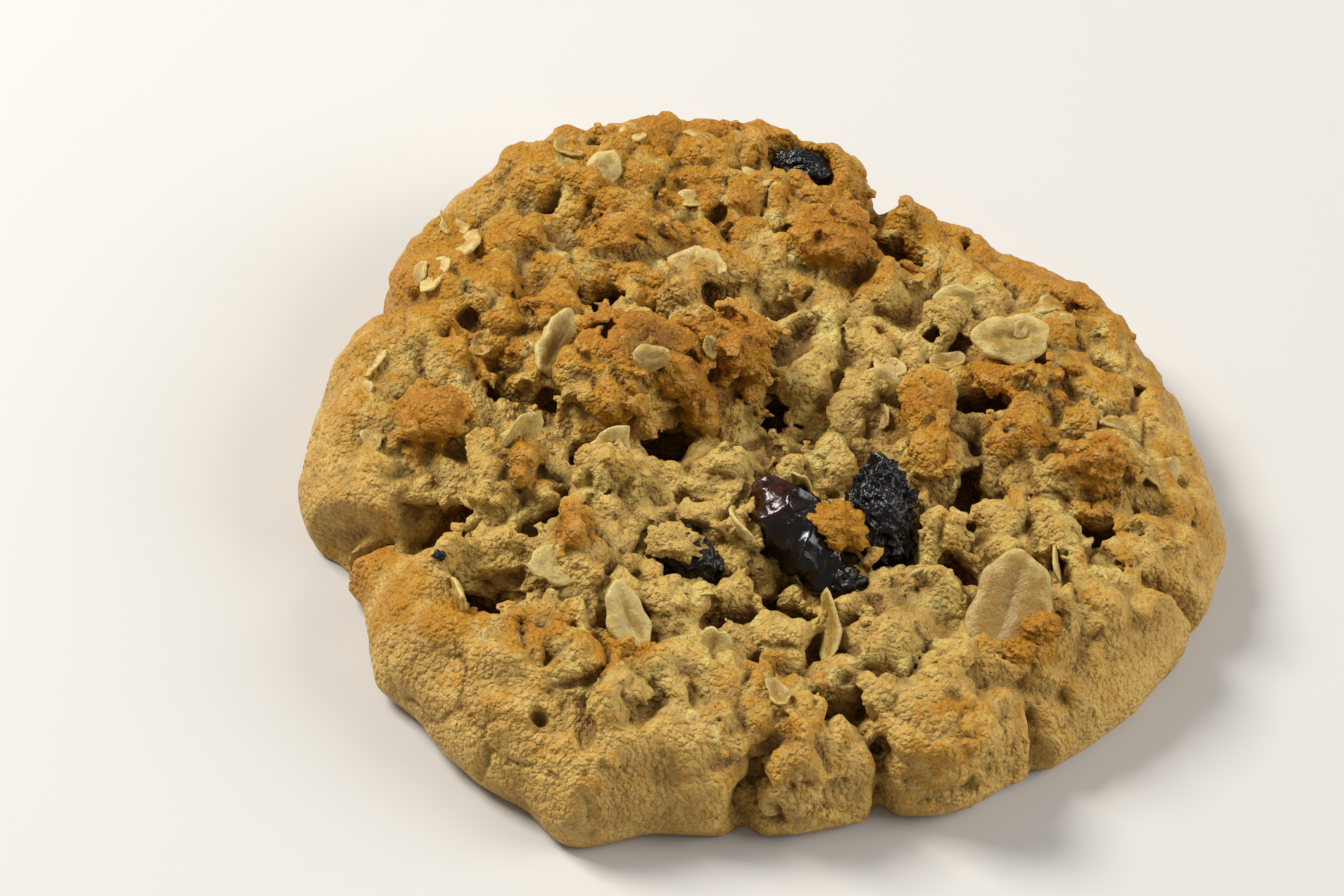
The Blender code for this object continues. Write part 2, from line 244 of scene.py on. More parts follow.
# The raisins: (node, swelling beyond the CAD solid, wrinkles as (size, depth) from coarse to fine).
GLOSSY_RAISINS = [
    ("raisin_glossy", 0.25, [(3.4, 0.6), (1.7, 0.25), (0.8, 0.05)]),
]
DRY_RAISINS = [
    ("raisin_wrinkled", 0.25, [(3.4, 0.4), (1.5, 0.5), (0.8, 0.4), (0.5, 0.2)]),
    ("raisin_half_buried", 0.1, [(2.2, 0.4), (1.0, 0.4), (0.6, 0.2)]),
    ("raisin_back_edge", 0.1, [(2.2, 0.4), (1.0, 0.3), (0.6, 0.2)]),
]

# The large oat flakes: (node, tone, heading of the toasted side).
LARGE_FLAKES = [
    ("oat_flake_front_right", 0.12, -50),
    ("oat_flake_right_back", 0.5, 120),
    ("oat_flake_curled", 0.6, 200),
    ("oat_flake_front", 0.9, 60),
]

# How far the texture's flat layouts reach from MIDDLE, and how high the layout of the rim reaches.
UV_REACH = 43.0
UV_HEIGHT = 18.0

# The stage, in metres and degrees, with the lights as (name, place, size, power, colour).
FLOOR_HALF = 0.9
FLOOR_COLOUR = (0.62, 0.61, 0.59, 1.0)
LIGHTS = [
    ("key", (-0.42, 0.16, 0.46), 0.24, 4.9, (1.0, 0.97, 0.92)),
    ("fill", (0.62, 0.02, 0.40), 0.5, 4.0, (1.0, 0.98, 0.95)),
]
ROOM_COLOUR = (1.0, 0.98, 0.95, 1.0)
ROOM_STRENGTH = 0.25
CAMERA_ELEVATION = 46.0
CAMERA_ROLL = 6.0
CAMERA_DISTANCE = 0.4
CAMERA_LENS = 127.0


def rng_for(seed):
    """A random generator of its own for each use, so that the order of use doesn't matter."""
    return np.random.default_rng(seed)


def smooth_step(low, high, value):
    """0 below low, 1 above high, and a smooth rise between."""
    share = np.clip((value - low) / (high - low), 0.0, 1.0)
    return share * share * (3.0 - 2.0 * share)


class Grid:
    """A regular grid of points round the cookie, in millimetres."""

    def __init__(self, low, high, step):
        self.low = np.asarray(low, float)
        self.step = step
        self.shape = tuple(int(n) for n in np.ceil((np.asarray(high) - self.low) / step) + 1)
        self.axes = [self.low[i] + step * np.arange(self.shape[i]) for i in range(3)]

    def window(self, centre, reach):
        """The slices and the axes of the part of the grid within reach of a centre."""
        slices = []
        for axis in range(3):
            start = int(np.floor((centre[axis] - reach - self.low[axis]) / self.step))
            stop = int(np.ceil((centre[axis] + reach - self.low[axis]) / self.step)) + 1
            slices.append(slice(max(0, start), min(self.shape[axis], max(0, stop))))
        x, y, z = (self.axes[axis][slices[axis]] - centre[axis] for axis in range(3))
        return tuple(slices), np.meshgrid(x, y, z, indexing="ij")

    def sample(self, field, points):
        """The field's values at points, by trilinear interpolation."""
        place = (points - self.low) / self.step
        place = np.clip(place, 0, np.array(self.shape) - 1.001)
        cell = place.astype(int)
        share = place - cell
        total = np.zeros(len(points))
        for corner in np.ndindex(2, 2, 2):
            weight = np.ones(len(points))
            for axis in range(3):
                weight *= share[:, axis] if corner[axis] else 1.0 - share[:, axis]
            index = cell + np.array(corner)
            total += weight * field[index[:, 0], index[:, 1], index[:, 2]]
        return total


def spline_weights(places):
    """The weights of cubic B-spline interpolation at places along a line of whole-numbered knots."""
    first = np.floor(places).astype(int)
    share = places - first
    weights = np.zeros((len(places), first.max() + 4))
    parts = (
        (1 - share) ** 3 / 6,
        (3 * share**3 - 6 * share**2 + 4) / 6,
        (-3 * share**3 + 3 * share**2 + 3 * share + 1) / 6,
        share**3 / 6,
    )
    for offset, part in enumerate(parts):
        weights[np.arange(len(places)), first + offset] = part
    return weights


def smooth_noise(grid, size, seed):
    """Smooth noise of about -1 to 1 over the whole grid, with swells of a size in millimetres."""
    random = rng_for(seed)
    weights = []
    for axis in range(3):
        places = (grid.axes[axis] - grid.low[axis]) / size + random.random()
        weights.append(spline_weights(places))
    knots = random.uniform(-1, 1, [w.shape[1] for w in weights])
    field = np.tensordot(weights[0], knots, (1, 0))
    field = np.tensordot(weights[1], field, (1, 1)).transpose(1, 0, 2)
    field = np.tensordot(field, weights[2], (2, 1))
    return (field * NOISE_CONTRAST).astype(np.float32)


class Cells:
    """Seeds, one in each cube of a size in millimetres, and where given points lie among them."""

    def __init__(self, points, size, seed):
        random = rng_for(seed)
        low = points.min(0) / size - 2.0
        cubes = np.ceil(points.max(0) / size - low + 3.0).astype(int)
        spots = random.random((*cubes, 3)).astype(np.float32)
        traits = random.uniform(-1, 1, (*cubes, 4)).astype(np.float32)
        place = (points / size - low).astype(np.float32)
        home = np.floor(place - 0.5).astype(int)
        self.near = np.full(len(points), 9.0, np.float32)
        self.second = np.full(len(points), 9.0, np.float32)
        offset = np.zeros((len(points), 3), np.float32)
        owner = np.zeros((len(points), 3), int)
        for corner in np.ndindex(2, 2, 2):
            cube = home + np.array(corner)
            away = place - cube - spots[cube[:, 0], cube[:, 1], cube[:, 2]]
            distance = np.sqrt((away**2).sum(1))
            closer = distance < self.near
            self.second = np.where(closer, self.near, np.minimum(self.second, distance))
            self.near = np.where(closer, distance, self.near)
            offset[closer] = away[closer]
            owner[closer] = cube[closer]
        trait = traits[owner[:, 0], owner[:, 1], owner[:, 2]]
        self.level = trait[:, 3]
        self.slope = (trait[:, :3] * offset).sum(1)

    def blocks(self, step, slant, crease):
        """Rounded clods: each at a level and slant of its own, with creases between them."""
        dome = np.sqrt(np.clip((self.second - self.near) / 0.5, 0.0, 1.0)) - 0.7
        return step * self.level + slant * self.slope + crease * dome


def read_rows(items, name, width, kind=np.float32):
    """One property of all the items of a mesh, as rows of numbers."""
    values = np.empty(len(items) * width, kind)
    items.foreach_get(name, values)
    return values.reshape(-1, width)


def mesh_arrays(node):
    """A CAD node's points in millimetres and its triangles."""
    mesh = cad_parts[node].data
    mesh.calc_loop_triangles()
    triangles = read_rows(mesh.loop_triangles, "vertices", 3, np.int32)
    return read_rows(mesh.vertices, "co", 3) / MM, triangles


def distance_field(grid, points, triangles):
    """The distance of each grid point from a closed mesh, negative inside, cut off at FAR."""
    places = ((points - grid.low) / grid.step).astype(np.float32)
    level_set = openvdb.FloatGrid.createLevelSetFromPolygons(
        places, triangles=triangles.astype(np.uint32), halfWidth=FAR / grid.step
    )
    field = np.empty(grid.shape, np.float32)
    level_set.copyToArray(field)
    return field * grid.step


def soft_union(first, second, softness):
    """The lower of two fields, with a fillet where they meet."""
    blend = np.clip(0.5 + 0.5 * (second - first) / softness, 0.0, 1.0)
    return second + (first - second) * blend - softness * blend * (1.0 - blend)


def blurred(field, passes):
    """The field smoothed by a small kernel along each axis."""
    for _ in range(passes):
        for axis in range(field.ndim):
            padded = np.concatenate(
                [np.take(field, [0], axis), field, np.take(field, [-1], axis)], axis
            )
            length = field.shape[axis]
            ends = [np.take(padded, range(k, k + length), axis) for k in (0, 2)]
            field = 0.5 * field + 0.25 * (ends[0] + ends[1])
    return field


def turn_matrix(spin, tilt, heading):
    """The turn of a flat piece that is spun in its own plane, then tipped towards a heading."""
    tip_axis = Vector((-math.sin(math.radians(heading)), math.cos(math.radians(heading)), 0.0))
    tip = Matrix.Rotation(math.radians(tilt), 3, tip_axis)
    return np.array(tip @ Matrix.Rotation(math.radians(spin), 3, "Z"))


def along_axes(offsets, turn):
    """The offsets measured along the axes of a turned piece."""
    return [sum(turn[row][column] * offsets[row] for row in range(3)) for column in range(3)]


def ellipsoid(offsets, radii, turn):
    """The distance from an ellipsoid at the middle of the offsets."""
    local = along_axes(offsets, turn)
    near = np.sqrt(sum((local[axis] / radii[axis]) ** 2 for axis in range(3))) + 1e-6
    steep = np.sqrt(sum((local[axis] / radii[axis] ** 2) ** 2 for axis in range(3))) + 1e-6
    return near * (near - 1.0) / steep


def chunk(offsets, radii, turn, random):
    """The distance from an angular lump: an ellipsoid cut by random flat faces, with rounded edges."""
    local = [axis / radius for axis, radius in zip(along_axes(offsets, turn), radii)]
    round_limit = np.sqrt(sum(local[axis] ** 2 for axis in range(3))) - 1.0
    total = np.exp(np.clip(CHUNK_SHARPNESS * round_limit, -30.0, 30.0))
    for _ in range(CHUNK_FACES):
        normal = random.normal(size=3)
        normal /= np.linalg.norm(normal)
        face = sum(normal[axis] * local[axis] for axis in range(3)) - random.uniform(0.6, 1.0)
        total = total + np.exp(np.clip(CHUNK_SHARPNESS * face, -30.0, 30.0))
    return np.log(total) / CHUNK_SHARPNESS * min(radii)


def top_heights(grid, field):
    """The height of the field's upper surface over each (x, y) of the grid."""
    inside = field < 0.0
    from_top = np.argmax(inside[:, :, ::-1], axis=2)
    heights = grid.axes[2][::-1][from_top]
    return np.where(inside.any(axis=2), heights, 0.0)


def height_at(grid, heights, x, y):
    """The upper surface's height at one place."""
    column = int(np.clip((x - grid.low[0]) / grid.step, 0, grid.shape[0] - 1))
    row = int(np.clip((y - grid.low[1]) / grid.step, 0, grid.shape[1] - 1))
    return heights[column, row]


def strongest_near(bearing, rows):
    """The strongest at each bearing of rows (bearing, half width, strength), which fade to their sides."""
    strongest = np.zeros(np.shape(bearing))
    for centre, half_width, strength in rows:
        away = (bearing - centre + 180.0) % 360.0 - 180.0
        strongest = np.maximum(strongest, strength * np.exp(-((away / half_width) ** 2)))
    return strongest


class Outline:
    """The dough's outline: its radius in each sector of SECTORS, and how crumbly the surface is."""

    SECTORS = 72

    def __init__(self, points):
        away = points[:, :2] - MIDDLE
        bearing = np.degrees(np.arctan2(away[:, 1], away[:, 0])) % 360
        sector = (bearing // (360 / self.SECTORS)).astype(int)
        radius = np.zeros(self.SECTORS)
        np.maximum.at(radius, sector, np.hypot(away[:, 0], away[:, 1]))
        self.radius = 0.5 * radius + 0.25 * (np.roll(radius, 1) + np.roll(radius, -1))

    def edge_distance(self, x, y):
        """How far a place lies in from the outline."""
        away_x = x - MIDDLE[0]
        away_y = y - MIDDLE[1]
        bearing = np.degrees(np.arctan2(away_y, away_x)) % 360
        middles = (np.arange(self.SECTORS) + 0.5) * 360 / self.SECTORS
        radius = np.interp(bearing, middles, self.radius, period=360)
        return radius - np.hypot(away_x, away_y)

    def roughness(self, x, y):
        """How crumbly the surface is: 1 over the top, less on the smooth stretches of the rim."""
        bearing = np.degrees(np.arctan2(y - MIDDLE[1], x - MIDDLE[0]))
        rim = np.maximum(RIM_SMOOTH, strongest_near(bearing, RIM_CRUMB))
        edge = self.edge_distance(x, y) - strongest_near(bearing, RIM_PLATES)
        top = smooth_step(2.5, 7.0, edge)
        calm = 1.0 - BACK_CALM * smooth_step(*BACK_STRETCH, y)
        return (rim + (1.0 - rim) * top) * calm


def add_clumps(grid, field, heights):
    """Joins the clumps that stand out to the dough."""
    random = rng_for(11)
    for x, y, lift, radii in CLUMPS:
        x, y = (x, y) + MIDDLE
        centre = (x, y, height_at(grid, heights, x, y) + lift - 0.45 * radii[2])
        window, offsets = grid.window(centre, max(radii) + FAR)
        turn = turn_matrix(random.uniform(0, 40), random.uniform(-12, 12), random.uniform(0, 360))
        field[window] = soft_union(field[window], ellipsoid(offsets, radii, turn), 0.7)


def cut_cavities(grid, field, heights):
    """Cuts the dark hollows that lie between and under the clumps."""
    for x, y, depth, radii, heading in CAVITIES:
        x, y = (x, y) + MIDDLE
        centre = (x, y, height_at(grid, heights, x, y) - depth)
        window, offsets = grid.window(centre, max(radii) + 1.0)
        shape = ellipsoid(offsets, radii, turn_matrix(heading, 0.0, 0.0))
        field[window] = -soft_union(-field[window], shape, 0.5)


def scattered_places(count, spacing, outline, margin, seed):
    """Random places on the cookie at least a spacing apart."""
    random = rng_for(seed)
    kept = np.empty((0, 2))
    for _ in range(count * 12):
        place = random.uniform(-42, 42, 2) + MIDDLE
        if outline.edge_distance(place[0], place[1]) < margin:
            continue
        if len(kept) and np.hypot(*(kept - place).T).min() < spacing:
            continue
        kept = np.vstack([kept, place])
        if len(kept) == count:
            break
    return kept


def add_chunks(grid, field, outline, inserts, count, sizes, spacing, seed):
    """Sets angular clods into the top, clear of the inserts, and returns where they are."""
    random = rng_for(seed)
    heights = top_heights(grid, field)
    levels = np.minimum(heights, blurred(heights, 10))
    added = []
    for x, y in scattered_places(count, spacing, outline, 2.0 + sizes[1], seed + 1):
        size = random.uniform(*sizes)
        tilt = abs(random.normal(0, 16))
        turn = turn_matrix(random.uniform(0, 360), min(tilt, 75), random.uniform(0, 360))
        radii = size * np.array((1.0, random.uniform(0.6, 0.95), random.uniform(0.3, 0.7)))
        sink = random.uniform(0.45, 1.0) * radii[2]
        if random.random() > float(outline.roughness(x, y)) + 0.05:
            continue
        centre = (x, y, height_at(grid, levels, x, y) - sink)
        if grid.sample(inserts, np.array([centre]))[0] < size + 0.4:
            continue
        window, offsets = grid.window(centre, size + 1.2)
        shape = chunk(offsets, radii, turn, random)
        field[window] = soft_union(field[window], shape, 0.25)
        added.append((*centre, size))
    return np.array(added)


def cut_pits(grid, field, outline, count, sizes, seed):
    """Cuts small holes into the top, the way crumb tears open."""
    random = rng_for(seed)
    heights = top_heights(grid, field)
    for x, y in scattered_places(count, 1.6, outline, 3.0, seed + 1):
        size = random.uniform(*sizes)
        radii = size * random.uniform(0.6, 1.5, 3)
        if random.random() > float(outline.roughness(x, y)):
            continue
        centre = (x, y, height_at(grid, heights, x, y) - random.uniform(0.1, 0.8) * size)
        window, offsets = grid.window(centre, 2.2 * size + 0.6)
        turn = turn_matrix(random.uniform(0, 360), random.uniform(0, 60), random.uniform(0, 360))
        field[window] = -soft_union(-field[window], ellipsoid(offsets, radii, turn), 0.2)


class Band:
    """The grid's points near the surface, with what the relief there depends on."""

    def __init__(self, grid, field, outline, reach):
        self.field = field
        self.index = np.nonzero(np.abs(field) < reach)
        self.points = np.stack([grid.axes[axis][self.index[axis]] for axis in range(3)], 1)
        self.rough = outline.roughness(self.points[:, 0], self.points[:, 1])
        self.upright = smooth_step(0.3, 3.0, self.points[:, 2])

    def noise(self, grid, size, seed):
        return smooth_noise(grid, size, seed)[self.index]

    def raise_by(self, rise):
        """Moves the surface out by a rise in millimetres."""
        self.field[self.index] -= (self.upright * rise).astype(np.float32)


def add_crumb_relief(grid, field, outline):
    """Roughens the dough's surface: rounded clods of ever finer size, and cracks in the smoother rim."""
    band = Band(grid, field, outline, 1.6)
    warp = np.stack([band.noise(grid, 2.6, 40 + axis) for axis in range(3)], 1)
    large = Cells(band.points + 0.6 * warp, 4.2, 51).blocks(step=0.30, slant=0.45, crease=0.80)
    plates = Cells(band.points + 0.9 * warp, 9.0, 54)
    crack = np.exp(-(((plates.second - plates.near) / 0.035) ** 2))
    crack *= smooth_step(-0.1, 0.5, band.noise(grid, 7.0, 55))
    swell = band.noise(grid, 6.0, 63)
    band.raise_by(band.rough * large + 0.16 * swell - 0.45 * (1.0 - band.rough) * crack)
    band = Band(grid, field, outline, 1.0)
    warp = np.stack([band.noise(grid, 1.2, 44 + axis) for axis in range(3)], 1)
    middling = Cells(band.points + 0.25 * warp, 2.1, 52).blocks(step=0.12, slant=0.22, crease=0.46)
    small = Cells(band.points + 0.15 * warp, 1.05, 53).blocks(step=0.05, slant=0.08, crease=0.20)
    fine = band.noise(grid, 0.6, 62)
    band.raise_by(band.rough * middling + (0.30 + 0.70 * band.rough) * (small + 0.06 * fine))


def flatten_base(grid, field):
    """Cuts the dough off at its flat base, with shallow hollows that don't touch the table."""
    hollows = np.maximum(0.0, smooth_noise(grid, 3.0, 71)[:, :, :1] + 0.2) * 0.22
    base = hollows + 0.02 - grid.axes[2][None, None, :]
    np.maximum(field, base, out=field)


def link_object(name, data):
    """An object for a mesh, a light or a camera, in the scene."""
    made = bpy.data.objects.new(name, data)
    bpy.context.scene.collection.objects.link(made)
    return made


def mesh_from_arrays(name, points, faces):
    """A smooth-shaded mesh from points in millimetres."""
    mesh = bpy.data.meshes.new(name)
    mesh.from_pydata(points * MM, [], faces)
    mesh.shade_smooth()
    return mesh


def biggest_island(points, faces):
    """Leaves only the largest connected piece of a mesh of triangles."""
    label = np.arange(len(points))
    while True:
        lowest = label[faces].min(1)
        before = label.copy()
        for corner in range(3):
            np.minimum.at(label, faces[:, corner], lowest)
        label = label[label]
        if (label == before).all():
            break
    names, counts = np.unique(label[faces[:, 0]], return_counts=True)
    faces = faces[label[faces[:, 0]] == names[counts.argmax()]]
    used, faces = np.unique(faces, return_inverse=True)
    return points[used], faces.reshape(-1, 3)


def surface_of(grid, field):
    """The field's surface as points in millimetres and triangles."""
    volume = openvdb.FloatGrid(FAR)
    volume.copyFromArray(np.ascontiguousarray(field, np.float32))
    places, triangles, quads = volume.convertToPolygons(0.0, 0.0)
    quads = quads.astype(np.int64)
    halves = [quads[:, [0, 1, 2]], quads[:, [0, 2, 3]]]
    faces = np.concatenate([triangles.astype(np.int64).reshape(-1, 3), *halves])
    points = places.astype(float) * grid.step + grid.low
    corners = points[faces]
    volume_sign = np.einsum("ij,ij->i", corners[:, 0], np.cross(corners[:, 1], corners[:, 2])).sum()
    if volume_sign < 0:
        faces = faces[:, ::-1]
    return biggest_island(points, faces)


def thinned(name, points, faces, most):
    """A mesh of at most so many triangles."""
    full = link_object(name + "_full", mesh_from_arrays(name + "_full", points, faces.tolist()))
    decimate = full.modifiers.new("thin out", "DECIMATE")
    decimate.ratio = min(1.0, most / len(faces))
    graph = bpy.context.evaluated_depsgraph_get()
    mesh = bpy.data.meshes.new_from_object(full.evaluated_get(graph))
    mesh.name = name
    bpy.data.objects.remove(full, do_unlink=True)
    mesh.shade_smooth()
    return mesh


def vertex_points(mesh):
    """A mesh's points in millimetres."""
    return read_rows(mesh.vertices, "co", 3).astype(float) / MM


def set_points(mesh, points):
    """Moves a mesh's points to places in millimetres."""
    mesh.vertices.foreach_set("co", (points * MM).astype(np.float32).ravel())


def set_attribute(mesh, name, values):
    """Stores one number for each point of a mesh, for its material to read."""
    attribute = mesh.attributes.new(name, "FLOAT", "POINT")
    attribute.data.foreach_set("value", np.asarray(values, np.float32))


def pressed_crest(heights):
    """Presses heights above CREST_START together, so that the tallest clump keeps to the CAD height."""
    over = np.maximum(heights - CREST_START, 0.0)
    return np.minimum(heights, CREST_START) + over / (1.0 + over / CREST_SOFTNESS)


def shape_dough():
    """The dough's detailed mesh, with what its material reads at each point, and its outline."""
    points, triangles = mesh_arrays("cookie_dough")
    low = points.min(0) - MARGIN
    high = points.max(0) + MARGIN
    grid = Grid(low, high, STEP)
    outline = Outline(points)
    field = distance_field(grid, points, triangles)
    inserts = np.full(grid.shape, FAR, np.float32)
    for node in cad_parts:
        if node != "cookie_dough":
            np.minimum(inserts, distance_field(grid, *mesh_arrays(node)), out=inserts)
    field = soft_union(field, inserts + 0.5, 0.8)
    field = blurred(field, 3)
    smooth = field.copy()
    heights = top_heights(grid, field)
    add_clumps(grid, field, heights)
    add_chunks(grid, field, outline, inserts, count=200, sizes=(1.4, 2.5), spacing=3.0, seed=101)
    crumbs = add_chunks(grid, field, outline, inserts, count=1500, sizes=(0.6, 1.3), spacing=1.3, seed=201)
    cut_cavities(grid, field, heights)
    cut_pits(grid, field, outline, count=110, sizes=(0.4, 1.0), seed=301)
    add_crumb_relief(grid, field, outline)
    flatten_base(grid, field)
    np.maximum(field, INSERT_GAP - inserts, out=field)
    surface, faces = surface_of(grid, field)
    surface[:, 2] = pressed_crest(surface[:, 2])
    mesh = thinned("cookie_dough_visual", surface, faces, DOUGH_TRIANGLES)
    colour_dough(grid, mesh, outline, smooth, blurred(field, 14), crumbs)
    unwrap_dough(mesh, outline)
    return mesh, outline


def browning(points, outline, rise, wobble):
    """How brown each point is, from 0 for pale crumb to 1 for the brownest crests."""
    x = points[:, 0] - MIDDLE[0]
    y = points[:, 1] - MIDDLE[1]
    patches = np.zeros(len(points))
    for centre_x, centre_y, reach, strength in BROWNED:
        away = np.hypot(x - centre_x, y - centre_y) / reach + 0.15 * wobble
        patches = np.maximum(patches, strength * (1.0 - smooth_step(0.45, 1.15, away)))
    crest = strongest_near(np.degrees(np.arctan2(y, x)), BROWNED_CREST)
    edge = outline.edge_distance(points[:, 0], points[:, 1])
    band = smooth_step(-0.5, 2.5, edge) * (1.0 - smooth_step(5.5, 13.0, edge + 2.0 * wobble))
    peaks = smooth_step(-0.6, 1.4, rise)
    brown = np.maximum(patches, crest * band)
    return np.clip(brown * (0.55 + 0.5 * peaks) + 0.16 * peaks * (0.6 + 0.4 * wobble), 0.0, 1.0)


def crumb_tones(points, crumbs):
    """A tone for each point of the dough: above 0 on pale oat bits, below 0 on toasted crumbs."""
    tones = np.zeros(len(points))
    random = rng_for(83)
    tree = KDTree(len(points))
    for index, point in enumerate(points):
        tree.insert(point, index)
    tree.balance()
    for x, y, z, size in crumbs:
        tone = random.normal(0.1, 0.5)
        for _, index, _ in tree.find_range((x, y, z), 0.95 * size):
            tones[index] = tone
    return tones


def colour_dough(grid, mesh, outline, smooth, averaged, crumbs):
    """Stores what the dough's material needs at each point.

    smooth is the dough before its relief was added, and averaged is the finished dough, blurred.
    """
    points = vertex_points(mesh)
    rise = grid.sample(smooth, points)
    wobble = grid.sample(smooth_noise(grid, 3.0, 81), points)
    edge = outline.edge_distance(points[:, 0], points[:, 1])
    tip = grid.sample(averaged, points)
    # depth: how far each point lies below the dough before its relief; the material paints shade from it.
    set_attribute(mesh, "depth", smooth_step(0.2, -2.0, rise))
    # tip: above 0 on knobs and below 0 in creases; the material browns the knobs by it, paints highlight
    # on them and paints shade in the creases.
    set_attribute(mesh, "tip", np.clip(tip / 0.5, -1.0, 1.0))
    set_attribute(mesh, "rim", 1.0 - smooth_step(3.0, 7.5, edge + 0.8 * wobble))
    set_attribute(mesh, "base", 1.0 - smooth_step(0.1, 2.4, points[:, 2]))
    set_attribute(mesh, "brown", browning(points, outline, rise, wobble))
    set_attribute(mesh, "tone", crumb_tones(points, crumbs))


def unwrap_dough(mesh, outline):
    """Lays out the dough's texture: the top, the rim in two strips, the overhangs and the base."""
    points = vertex_points(mesh)
    corners = read_rows(mesh.loops, "vertex_index", 1, np.int32).ravel()
    up = np.repeat(read_rows(mesh.polygons, "normal", 3)[:, 2], 3)
    place = points[corners]
    middles = np.repeat(place.reshape(-1, 3, 3).mean(1), 3, axis=0)
    edge = outline.edge_distance(middles[:, 0], middles[:, 1])
    turn = np.arctan2(middles[:, 1] - MIDDLE[1], middles[:, 0] - MIDDLE[0])
    bearing = np.arctan2(place[:, 1] - MIDDLE[1], place[:, 0] - MIDDLE[0])
    bearing = turn - ((turn - bearing + np.pi) % (2 * np.pi) - np.pi)
    flat = (place[:, :2] - MIDDLE + UV_REACH) / (2 * UV_REACH)
    uv = flat * 0.66 + (0.0, 0.32)
    overhang = up < 0.0
    uv[overhang] = flat[overhang] * 0.32 + (0.67, 0.33)
    base = overhang & (middles[:, 2] < 1.0)
    uv[base] = flat[base] * 0.32 + (0.67, 0.67)
    side = (np.abs(up) < 0.6) & (edge < 3.0) & ~base
    back = turn > 0.0
    along = np.where(back, bearing, bearing + np.pi) / np.pi
    strip = np.stack([0.01 + 0.98 * along, 0.02 + place[:, 2] / UV_HEIGHT * 0.12 + 0.15 * back], 1)
    uv[side] = strip[side]
    layer = mesh.uv_layers.new(name="OFBake")
    layer.data.foreach_set("uv", uv.astype(np.float32).ravel())


class Nodes:
    """Builds a material's node tree, with each node's inputs given by name or number."""

    def __init__(self, name):
        self.material = bpy.data.materials.new(name)
        self.material.use_nodes = True
        self.tree = self.material.node_tree
        self.shader = self.tree.nodes["Principled BSDF"]
        self.geometry = self.tree.nodes.new("ShaderNodeTexCoord").outputs["Object"]

    def add(self, kind, inputs, output=0, **settings):
        """Adds a node and returns one of its outputs."""
        node = self.tree.nodes.new(kind)
        for name, value in settings.items():
            setattr(node, name, value)
        for key, value in inputs.items():
            self.join(node.inputs[key], value)
        return node.outputs[output]

    def join(self, socket, value):
        """Links an output to an input, or sets the input's value."""
        if isinstance(value, bpy.types.NodeSocket):
            self.tree.links.new(value, socket)
        else:
            socket.default_value = value

    def math(self, operation, first, second):
        return self.add("ShaderNodeMath", {0: first, 1: second}, operation=operation)

    def plus(self, first, second):
        return self.math("ADD", first, second)

    def times(self, first, second):
        return self.math("MULTIPLY", first, second)

    def fade(self, value, low, high, start=0.0, end=1.0):
        """Maps a range of values smoothly onto another."""
        inputs = {"Value": value, "From Min": low, "From Max": high, "To Min": start, "To Max": end}
        return self.add("ShaderNodeMapRange", inputs, interpolation_type="SMOOTHSTEP")

    def mix(self, share, first, second):
        """Mixes two colours."""
        inputs = {"Factor": share, 6: first, 7: second}
        return self.add("ShaderNodeMix", inputs, 2, data_type="RGBA")

    def tint(self, under, over, value, low, high, most=1.0):
        """Fades a colour in over another, up to a share, as a value passes from low to high."""
        return self.mix(self.fade(value, low, high, 0.0, most), under, over)

    def noise(self, size, detail=3.0, roughness=0.55):
        """Noise with swells of a size in millimetres."""
        inputs = {"Vector": self.geometry, "Scale": 1.0 / (size * MM), "Detail": detail}
        inputs["Roughness"] = roughness
        return self.add("ShaderNodeTexNoise", inputs)

    def cells(self, size):
        """The distance from scattered cell middles of a size in millimetres."""
        inputs = {"Vector": self.geometry, "Scale": 1.0 / (size * MM)}
        return self.add("ShaderNodeTexVoronoi", inputs)

    def attribute(self, name):
        return self.add("ShaderNodeAttribute", {}, 2, attribute_name=name)

    def bump(self, height, distance):
        """A bump whose height is in millimetres."""
        inputs = {"Height": height, "Distance": distance * MM, "Strength": 1.0}
        return self.add("ShaderNodeBump", inputs)

    def surface(self, **inputs):
        """Sets or links the shader's inputs, named with spaces as underscores."""
        for name, value in inputs.items():
            self.join(self.shader.inputs[name.replace("_", " ")], value)
        return self.material


def colour(red, green, blue):
    """A colour given as it shows on a screen, from 0 to 255, turned into linear values."""
    values = [channel / 255.0 for channel in (red, green, blue)]
    linear = [v / 12.92 if v <= 0.04045 else ((v + 0.055) / 1.055) ** 2.4 for v in values]
    return (*linear, 1.0)


PALE_CRUMB = colour(200, 169, 92)
OAT_BIT = colour(210, 190, 112)
DULL_CRUMB = colour(160, 121, 60)
# A dark crumb brown: the crumb's own dark specks, and painted shade in hollows, creases and pores.
SPECK_AND_SHADE_CRUMB = colour(98, 64, 18)
TAN_CRUST = colour(204, 167, 90)
GOLDEN_CRUST = colour(180, 126, 28)
BROWN_CRUST = colour(170, 111, 24)
# A pale gold for painted highlights on the crumb's knobs and painted glints in its grain.
PAINTED_HIGHLIGHT = colour(224, 184, 98)
DARK_CRUST = colour(106, 62, 8)
MAROON_SKIN = colour(56, 18, 14)
SWOLLEN_SKIN = colour(12, 7, 8)
MOTTLED_SKIN = colour(12, 8, 8)
DRY_SKIN = colour(5, 4, 4)
DRY_BROWN_SKIN = colour(22, 12, 9)
TAN_OAT = colour(152, 118, 48)
CREAM_OAT = colour(208, 186, 114)
TOASTED_OAT = colour(184, 126, 36)
BROWNED_OAT = colour(140, 84, 18)
SPECKLED_OAT = colour(136, 98, 36)


